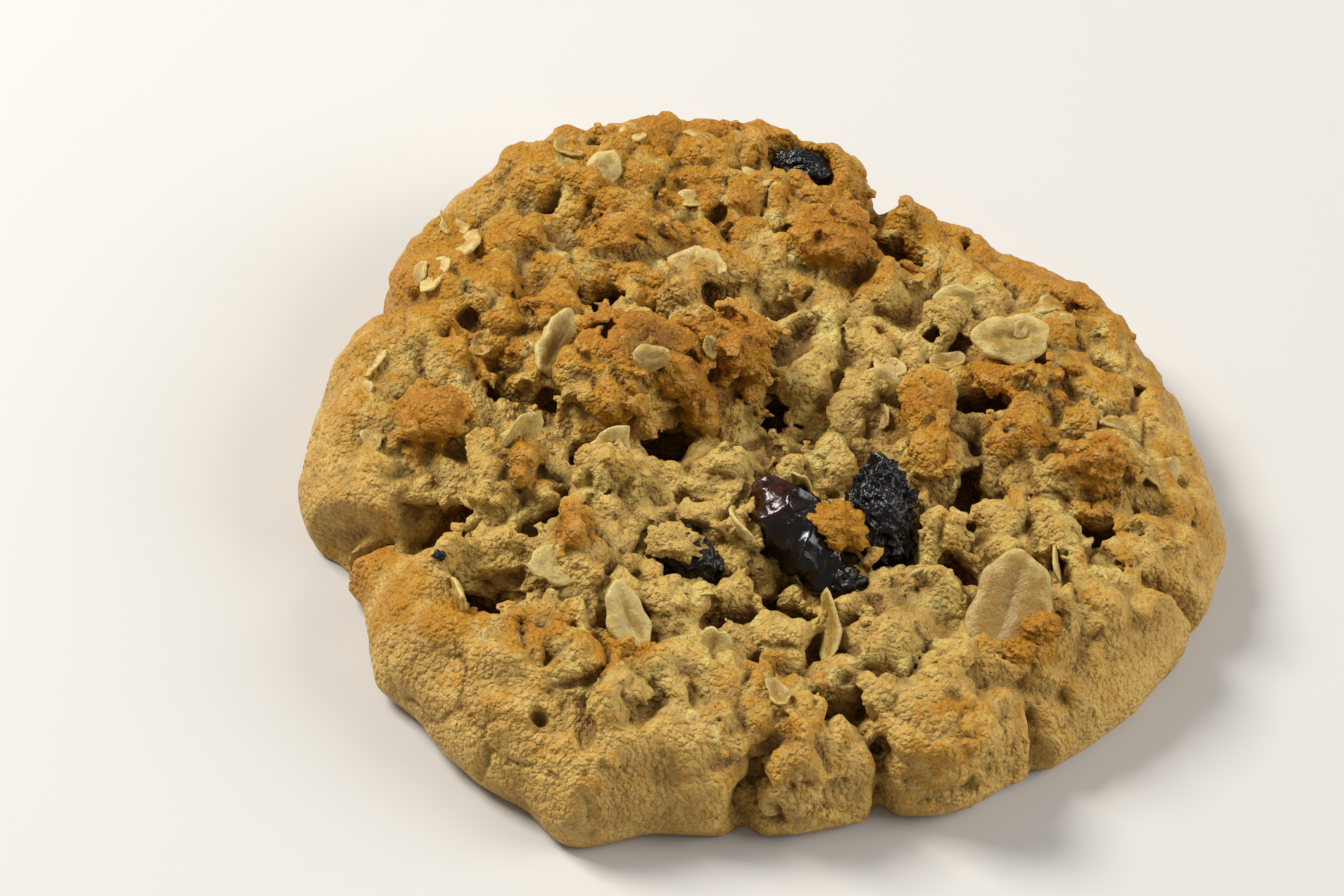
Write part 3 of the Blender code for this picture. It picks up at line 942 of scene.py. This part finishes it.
def dough_material():
    """Baked dough: pale crumb, tan rim and browned crests, with a fine grain, painted highlights on the
    knobs and grain, and painted shade in the hollows, creases and pores.
    """
    nodes = Nodes("baked_dough_visual")
    brown = nodes.attribute("brown")
    tip = nodes.attribute("tip")
    tone = nodes.attribute("tone")
    broad = nodes.noise(4.5, 2.0)
    patchy = nodes.noise(1.5, 4.0, 0.6)
    crumb = nodes.tint(PALE_CRUMB, OAT_BIT, tone, 0.1, 0.9, 0.8)
    crumb = nodes.tint(crumb, DULL_CRUMB, nodes.noise(2.6), 0.42, 0.68, 0.65)
    rim = nodes.tint(TAN_CRUST, GOLDEN_CRUST, patchy, 0.35, 0.7, 0.30)
    rim = nodes.tint(rim, DULL_CRUMB, broad, 0.45, 0.65, 0.45)
    ground = nodes.mix(nodes.attribute("rim"), crumb, rim)
    toasted = nodes.math("SUBTRACT", brown, nodes.times(tone, 0.3))
    tips = nodes.times(nodes.fade(tip, -0.3, 0.9, -0.12, 0.18), nodes.fade(broad, 0.35, 0.65, 0.3, 1.0))
    toasted = nodes.plus(toasted, tips)
    uneven = nodes.plus(toasted, nodes.fade(patchy, 0.3, 0.7, -0.18, 0.18))
    ground = nodes.tint(ground, GOLDEN_CRUST, uneven, 0.05, 0.60)
    ground = nodes.tint(ground, BROWN_CRUST, uneven, 0.45, 1.05)
    ground = nodes.tint(ground, DARK_CRUST, uneven, 1.05, 1.4, 0.7)
    ground = nodes.tint(ground, GOLDEN_CRUST, nodes.attribute("base"), 0.2, 1.0, 0.4)
    # Painted highlight on the knobs of the crumb.
    ground = nodes.tint(ground, PAINTED_HIGHLIGHT, tip, 0.25, 1.0, 0.30)
    # Painted shade: darker where the dough lies below its first smooth shape, in its hollows and cavities.
    ground = nodes.tint(ground, SPECK_AND_SHADE_CRUMB, nodes.attribute("depth"), 0.1, 1.0, 0.8)
    # Painted shade in the creases between the clods.
    ground = nodes.tint(ground, SPECK_AND_SHADE_CRUMB, tip, 0.15, -0.8, 0.75)
    # Dark specks of the crumb's own colour.
    ground = nodes.tint(ground, SPECK_AND_SHADE_CRUMB, nodes.noise(0.32, roughness=0.6), 0.52, 0.72, 0.30)
    # Painted glints: small pale spots that stand in for the sparkle of the grain.
    ground = nodes.tint(ground, PAINTED_HIGHLIGHT, nodes.cells(0.34), 0.28, 0.06, 0.45)
    # Pores, pressed in by the bump below, and painted darker as shade in them.
    pores = nodes.fade(nodes.cells(0.9), 0.16, 0.05)
    ground = nodes.mix(nodes.times(pores, 0.4), ground, SPECK_AND_SHADE_CRUMB)
    grain = nodes.plus(nodes.times(nodes.cells(0.55), -1.3), nodes.times(nodes.cells(0.28), -0.6))
    height = nodes.plus(grain, nodes.times(nodes.noise(0.9, roughness=0.6), 1.2))
    height = nodes.math("SUBTRACT", height, nodes.times(pores, 0.6))
    return nodes.surface(
        Base_Color=ground,
        Roughness=nodes.fade(nodes.noise(0.3, 1.0), 0.38, 0.62, 0.28, 0.75),
        IOR=1.42,
        Specular_IOR_Level=0.35,
        Normal=nodes.bump(height, 0.24),
    )


def glossy_raisin_material():
    """A swollen shiny raisin skin: maroon at one end, near black at the other."""
    nodes = Nodes("glossy_raisin_visual")
    uneven = nodes.plus(nodes.attribute("along"), nodes.fade(nodes.noise(1.6), 0.3, 0.7, -0.15, 0.15))
    skin = nodes.tint(MAROON_SKIN, SWOLLEN_SKIN, uneven, 0.15, 0.55)
    skin = nodes.tint(skin, MOTTLED_SKIN, nodes.noise(0.9), 0.45, 0.7, 0.7)
    height = nodes.plus(nodes.noise(0.9), nodes.times(nodes.noise(0.2), 0.12))
    return nodes.surface(
        Base_Color=skin,
        Roughness=nodes.fade(nodes.noise(0.7), 0.35, 0.7, 0.12, 0.34),
        Normal=nodes.bump(height, 0.12),
        Specular_IOR_Level=0.4,
        Coat_Weight=0.2,
        Coat_Roughness=0.06,
    )


def dry_raisin_material():
    """A dry raisin skin: near black, with sharp fine wrinkles that catch the light."""
    nodes = Nodes("dry_raisin_visual")
    skin = nodes.tint(DRY_SKIN, DRY_BROWN_SKIN, nodes.noise(1.4), 0.45, 0.7)
    height = nodes.plus(nodes.noise(0.5, 3.7, 0.65), nodes.noise(0.18, 2.0))
    return nodes.surface(
        Base_Color=skin,
        Roughness=nodes.fade(nodes.noise(0.4), 0.35, 0.7, 0.12, 0.30),
        Specular_IOR_Level=0.3,
        Normal=nodes.bump(height, 0.10),
        Coat_Weight=0.25,
        Coat_Roughness=0.08,
    )


def flake_material():
    """A rolled oat: translucent and tan in the middle, cream at the rim, toasted in places."""
    nodes = Nodes("oat_flake_visual")
    rim = nodes.fade(nodes.attribute("radial"), 0.55, 1.0, -0.1, 0.45)
    light = nodes.plus(nodes.attribute("tone"), rim)
    light = nodes.plus(light, nodes.fade(nodes.noise(1.0), 0.3, 0.7, -0.25, 0.25))
    shade = nodes.tint(TAN_OAT, CREAM_OAT, light, 0.0, 1.2)
    uneven = nodes.plus(nodes.attribute("toast"), nodes.fade(nodes.noise(0.8), 0.3, 0.7, -0.3, 0.3))
    shade = nodes.tint(shade, TOASTED_OAT, uneven, 0.35, 0.8)
    shade = nodes.tint(shade, BROWNED_OAT, uneven, 0.8, 1.2, 0.8)
    shade = nodes.tint(shade, SPECKLED_OAT, nodes.noise(0.3, roughness=0.6), 0.5, 0.75, 0.5)
    height = nodes.plus(nodes.noise(0.5, 4.0, 0.6), nodes.times(nodes.noise(0.14), 0.3))
    return nodes.surface(
        Base_Color=shade,
        Roughness=nodes.fade(nodes.noise(0.5), 0.35, 0.7, 0.26, 0.6),
        Normal=nodes.bump(height, 0.16),
        Subsurface_Weight=0.05,
        Subsurface_Radius=(0.0010, 0.0008, 0.0004),
        Subsurface_Scale=1.0,
    )


def refined_copy(node, levels):
    """A finer, rounder copy of a CAD node's mesh, for wrinkles to be pressed into."""
    rough = bmesh.new()
    rough.from_mesh(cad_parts[node].data)
    bmesh.ops.remove_doubles(rough, verts=rough.verts, dist=0.000002)
    mesh = bpy.data.meshes.new(node + "_visual")
    rough.to_mesh(mesh)
    rough.free()
    mesh.materials.clear()
    made = link_object(node + "_visual", mesh)
    subdivide = made.modifiers.new("round", "SUBSURF")
    subdivide.levels = levels
    graph = bpy.context.evaluated_depsgraph_get()
    finer = bpy.data.meshes.new_from_object(made.evaluated_get(graph))
    made.modifiers.clear()
    made.data = finer
    bpy.data.meshes.remove(mesh)
    finer.name = node + "_visual"
    finer.shade_smooth()
    return made


def move_out(mesh, distances):
    """Moves each point along its normal by a distance in millimetres."""
    normals = read_rows(mesh.vertex_normals, "vector", 3)
    set_points(mesh, vertex_points(mesh) + normals * distances[:, None])
    mesh.update()


def noise_at(places):
    """Smooth noise of about -1 to 1, with swells of about one unit, at each place."""
    return np.array([noise.noise(Vector(place)) for place in places])


def add_raisin(node, material, swell, wrinkles):
    """A raisin shaped from its CAD solid, pressed into wrinkles."""
    raisin = refined_copy(node, 2)
    points = vertex_points(raisin.data)
    rise = np.full(len(points), swell)
    for order, (size, depth) in enumerate(wrinkles):
        ridges = 1.0 - np.abs(noise_at(points / size + (7.0 * order + 3.0, 0.0, 0.0)))
        rise += depth * (ridges**4 - 0.6)
    move_out(raisin.data, rise)
    low, high = points.min(0), points.max(0)
    along = ((points - low) / (high - low)) @ np.array((0.5, -0.5, 0.0)) + 0.5
    set_attribute(raisin.data, "along", along)
    finish_piece(raisin, material, node)
    return raisin


def finish_piece(piece, material, node=None):
    """Gives a piece its material, hangs it on the root body, and hides the CAD node that it takes the
    place of.
    """
    piece.data.materials.append(material)
    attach(piece, "root")
    if node:
        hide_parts(node)


def own_axes(points):
    """A flat piece's points along its length, breadth and thickness, -1 to 1, and those directions."""
    centred = points - points.mean(0)
    _, directions = np.linalg.eigh(centred.T @ centred)
    directions = directions[:, ::-1]
    directions[:, 2] *= np.sign(directions[2, 2])
    along = centred @ directions
    return along / np.abs(along).max(0), directions


def add_large_flake(node, material, tone, toast_heading):
    """A large oat flake shaped from its CAD solid: an uneven outline, a groove and one toasted side."""
    flake = refined_copy(node, 2)
    points = vertex_points(flake.data)
    along, directions = own_axes(points)
    radial = np.hypot(along[:, 0], along[:, 1])
    bearing = np.arctan2(along[:, 1], along[:, 0])
    uneven = 0.07 * np.sin(2 * bearing + 1.0) + 0.06 * np.sin(3 * bearing + tone)
    uneven += 0.04 * np.sin(7 * bearing)
    reach = np.abs(points - points.mean(0)).max()
    across = (along[:, :2] * uneven[:, None]) @ directions[:, :2].T * reach
    groove = 0.35 * np.exp(-((along[:, 1] / 0.16) ** 2)) * np.clip(1.0 - radial, 0.0, 1.0)
    ripple = 0.12 * noise_at(points / 1.3)
    points = points + across + (ripple - groove)[:, None] * directions[:, 2]
    set_points(flake.data, points)
    heading = math.radians(toast_heading)
    towards = (points - points.mean(0)) @ (math.cos(heading), math.sin(heading), 0.0)
    set_attribute(flake.data, "toast", smooth_step(1.4, 3.4, towards))
    set_attribute(flake.data, "tone", np.full(len(points), tone))
    set_attribute(flake.data, "radial", radial)
    finish_piece(flake, material, node)
    return flake


def sphere_arrays(subdivisions):
    """The points and triangles of a unit icosphere."""
    sphere = bmesh.new()
    bmesh.ops.create_icosphere(sphere, subdivisions=subdivisions, radius=1.0)
    points = np.array([vertex.co for vertex in sphere.verts])
    faces = np.array([[vertex.index for vertex in face.verts] for face in sphere.faces])
    sphere.free()
    return points, faces


def flake_points(directions, length, width, random):
    """The points of a rolled oat flake, lying flat: an uneven oval with a crease, a curl and a twist."""
    bearing = np.arctan2(directions[:, 1], directions[:, 0])
    uneven = 1.0
    for waves, depth in ((2, 0.10), (3, 0.08), (5, 0.06), (9, 0.04)):
        uneven = uneven + depth * np.sin(waves * bearing + random.uniform(0, 6))
    x = directions[:, 0] * length / 2 * uneven
    y = directions[:, 1] * width / 2 * uneven
    half_thickness = random.uniform(0.16, 0.28)
    z = np.sign(directions[:, 2]) * np.abs(directions[:, 2]) ** 0.6 * half_thickness
    crease = np.exp(-((directions[:, 1] / 0.14) ** 2)) * (1.0 - directions[:, 0] ** 2)
    z = z - 0.22 * crease
    z = z + random.uniform(-0.7, 0.7) * directions[:, 0] ** 2
    z = z + random.uniform(-0.35, 0.35) * directions[:, 1] ** 2
    z = z + random.uniform(-0.3, 0.3) * directions[:, 0] * directions[:, 1]
    return np.stack([x, y, z], 1)


class Joined:
    """Many small shapes gathered into one mesh, with numbers stored for each point."""

    def __init__(self):
        self.points = []
        self.faces = []
        self.values = {}
        self.count = 0

    def add(self, points, faces, **values):
        self.points.append(points)
        self.faces.append(faces + self.count)
        self.count += len(points)
        for name, value in values.items():
            self.values.setdefault(name, []).append(np.broadcast_to(value, len(points)))

    def make(self, name):
        mesh = mesh_from_arrays(name, np.concatenate(self.points), np.concatenate(self.faces).tolist())
        for value_name, parts in self.values.items():
            set_attribute(mesh, value_name, np.concatenate(parts))
        return link_object(name, mesh)


class Ground:
    """The finished surface of the dough and its large toppings, for small pieces to be set on."""

    def __init__(self, pieces):
        self.trees = [bvh_of(piece) for piece in pieces]

    def height(self, x, y):
        """The height of the surface at a place in millimetres, or None off the dough."""
        start = Vector((x, y, 40.0)) * MM
        hits = [tree.ray_cast(start, Vector((0, 0, -1)))[0] for tree in self.trees]
        return max((place.z / MM for place in hits if place), default=None)


def bvh_of(piece):
    """A search tree of a piece's triangles."""
    points = [vertex.co for vertex in piece.data.vertices]
    faces = [tuple(polygon.vertices) for polygon in piece.data.polygons]
    return BVHTree.FromPolygons(points, faces)


def heights_round(ground, x, y, reach):
    """The heights of the surface at a place and at eight places round it."""
    around = [(step_x * reach, step_y * reach) for step_x in (-1, 0, 1) for step_y in (-1, 0, 1)]
    heights = [ground.height(x + step_x, y + step_y) for step_x, step_y in around]
    return np.array([height for height in heights if height is not None])


def settled_height(ground, x, y, reach):
    """A rather high level of the surface round a place, for a flake to lie at without riding one peak."""
    return float(np.quantile(heights_round(ground, x, y, reach), 0.6))


def lie_of(ground, x, y, reach):
    """The tilt and heading of a flake that lies on the surface round a place."""
    slope = []
    for step_x, step_y in ((reach, 0.0), (0.0, reach)):
        ahead = ground.height(x + step_x, y + step_y)
        behind = ground.height(x - step_x, y - step_y)
        slope.append(0.0 if None in (ahead, behind) else (ahead - behind) / (2.0 * reach))
    tilt = min(55.0, math.degrees(math.atan(math.hypot(*slope))))
    return tilt, math.degrees(math.atan2(-slope[1], -slope[0]))


def add_small_flakes(ground, outline, material):
    """The oat flakes that lie in the top, as one piece."""
    random = rng_for(500)
    directions, faces = sphere_arrays(3)
    joined = Joined()
    rows = list(FLAKES)
    for x, y in scattered_places(SCATTERED_FLAKES, 3.2, outline, 2.5, 501) - MIDDLE:
        length = random.uniform(1.8, 3.4)
        if np.ptp(heights_round(ground, x + MIDDLE[0], y + MIDDLE[1], 0.25 * length)) > 1.0:
            continue
        width = length * random.uniform(0.6, 0.85)
        tilt, heading = lie_of(ground, x + MIDDLE[0], y + MIDDLE[1], 0.5 * length)
        rest = (tilt + random.normal(0, 8), heading, random.uniform(0, 360), random.uniform(0.1, 0.8))
        rows.append((x, y, random.uniform(-0.1, 0.3), length, width, *rest))
    for x, y, lift, length, width, tilt, heading, spin, tone in rows:
        place = np.array((x, y)) + MIDDLE
        height = settled_height(ground, *place, 0.3 * length)
        shape = flake_points(directions, length, width, random)
        turn = turn_matrix(spin, tilt, heading)
        brown = browning(np.array([[*place, height]]), outline, 0.0, 0.0)[0]
        toast = 0.55 * brown + smooth_step(0.75, 1.1, np.abs(directions[:, 0])) * random.uniform(0.0, 0.8)
        radial = np.hypot(directions[:, 0], directions[:, 1])
        points = shape @ turn.T + (*place, height + lift - 0.3)
        joined.add(points, faces, tone=tone, toast=toast, radial=radial)
    finish_piece(joined.make("small_oat_flakes"), material)


def lump_points(directions, radii, seed):
    """The points of a rough crumb."""
    bumps = noise_at(directions * 1.7 + (seed, 0, 0))
    grain = noise_at(directions * 4.5 + (0, seed, 0))
    fine = noise_at(directions * 11.0 + (0, 0, seed))
    swell = 1.0 + 0.40 * bumps + 0.30 * grain + 0.14 * fine
    return directions * swell[:, None] * radii


def add_lumps(name, rows, ground, material, values):
    """Small lumps set on the dough, as one piece."""
    directions, faces = sphere_arrays(4)
    joined = Joined()
    for x, y, sink, radii, seed, brown in rows:
        place = np.array((x, y)) + MIDDLE
        height = settled_height(ground, *place, 0.3 * radii[0])
        points = lump_points(directions, radii, seed) + (*place, height - sink)
        joined.add(points, faces, **values, brown=brown)
    finish_piece(joined.make(name), material)


def stage_floor():
    """A plain pale floor."""
    mesh = bpy.data.meshes.new("floor")
    corners = [(x * FLOOR_HALF, y * FLOOR_HALF, 0) for x, y in ((-1, -1), (1, -1), (1, 1), (-1, 1))]
    mesh.from_pydata(corners, [], [(0, 1, 2, 3)])
    floor = link_object("floor", mesh)
    material = bpy.data.materials.new("floor")
    material.use_nodes = True
    shader = material.node_tree.nodes["Principled BSDF"]
    shader.inputs["Base Color"].default_value = FLOOR_COLOUR
    shader.inputs["Roughness"].default_value = 0.7
    mesh.materials.append(material)


def add_area_light(name, place, size, power, tint):
    """A soft square light that points at the cookie."""
    light = bpy.data.lights.new(name, "AREA")
    light.size = size
    light.energy = power
    light.color = tint
    holder = link_object(name, light)
    holder.location = place
    holder.rotation_euler = (-Vector(place)).to_track_quat("-Z", "Y").to_euler()


def light_scene():
    """A soft key light from the left and a broad fill from the right, in a pale room."""
    for light in LIGHTS:
        add_area_light(*light)
    world = bpy.data.worlds.new("room")
    world.use_nodes = True
    background = world.node_tree.nodes["Background"]
    background.inputs["Color"].default_value = ROOM_COLOUR
    background.inputs["Strength"].default_value = ROOM_STRENGTH
    bpy.context.scene.world = world
    bpy.context.scene.view_settings.view_transform = "Standard"


def place_camera():
    """The camera: well above the table, a little rolled, with the cookie right of the picture's middle."""
    elevation = math.radians(CAMERA_ELEVATION)
    target = Vector((MIDDLE[0] + 0.2, MIDDLE[1] - 1.9, 6.0)) * MM
    towards = Vector((0.0, -math.cos(elevation), math.sin(elevation)))
    camera = bpy.data.cameras.new("camera")
    camera.lens = CAMERA_LENS
    camera.sensor_width = 36.0
    holder = link_object("camera", camera)
    roll = Matrix.Rotation(math.radians(CAMERA_ROLL), 4, "Z")
    turned = (-towards).to_track_quat("-Z", "Y").to_matrix().to_4x4() @ roll
    right = turned.col[0].to_3d()
    up = turned.col[1].to_3d()
    aim = target - right * 0.0076 + up * 0.0027
    place = target + towards * CAMERA_DISTANCE
    look = (aim - place).to_track_quat("-Z", "Y").to_matrix().to_4x4()
    holder.matrix_world = Matrix.Translation(place) @ look @ roll
    bpy.context.scene.camera = holder


def main():
    dough_mesh, outline = shape_dough()
    dough = link_object("cookie_dough_visual", dough_mesh)
    baked = dough_material()
    finish_piece(dough, baked, "cookie_dough")
    glossy = glossy_raisin_material()
    dry = dry_raisin_material()
    flake = flake_material()
    large = [dough]
    large += [add_raisin(node, glossy, swell, wrinkles) for node, swell, wrinkles in GLOSSY_RAISINS]
    large += [add_raisin(node, dry, swell, wrinkles) for node, swell, wrinkles in DRY_RAISINS]
    large += [add_large_flake(node, flake, tone, heading) for node, tone, heading in LARGE_FLAKES]
    ground = Ground(large)
    crumb = {"tip": 0.2, "rim": 0.0, "tone": 0.2, "depth": 0.0, "base": 0.0}
    add_lumps("loose_crumbs", LOOSE_CRUMBS, ground, baked, crumb)
    add_lumps("raisin_bits", RAISIN_BITS, ground, dry, {})
    add_small_flakes(ground, outline, flake)
    stage_floor()
    light_scene()
    place_camera()


main()
